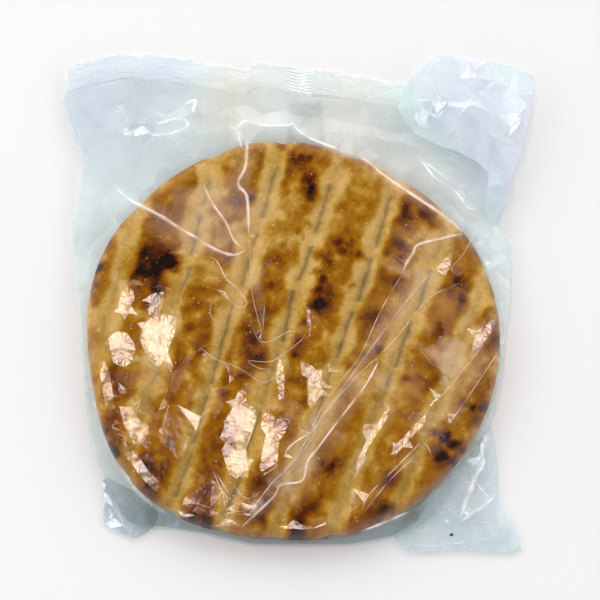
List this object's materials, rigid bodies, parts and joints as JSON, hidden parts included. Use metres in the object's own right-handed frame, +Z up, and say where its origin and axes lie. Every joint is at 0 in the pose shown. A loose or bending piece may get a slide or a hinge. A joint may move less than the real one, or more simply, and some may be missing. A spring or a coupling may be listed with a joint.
{
  "type": "bagged pita bread",
  "caption": "Flat round griddled pita bread with parallel grooves, sealed in a clear crinkled flow-wrap film bag with crimped ends, lying flat.",
  "frame": {"origin": "middle of the bread's underside, on the surface that the bag lies on", "axes": "+X right across the bag, +Y towards its crimped end seal, +Z up"},
  "size_m": [0.227, 0.24, 0.0111],
  "materials": {
    "film": "clear glossy polypropylene film, crinkled, faintly cool where it lies double",
    "crust": "baked flatbread crust, pale gold to toasted brown with burnt spots, dry and matt"
  },
  "bodies": {
    "root": {"bag": "film"}
  },
  "joints": []
}
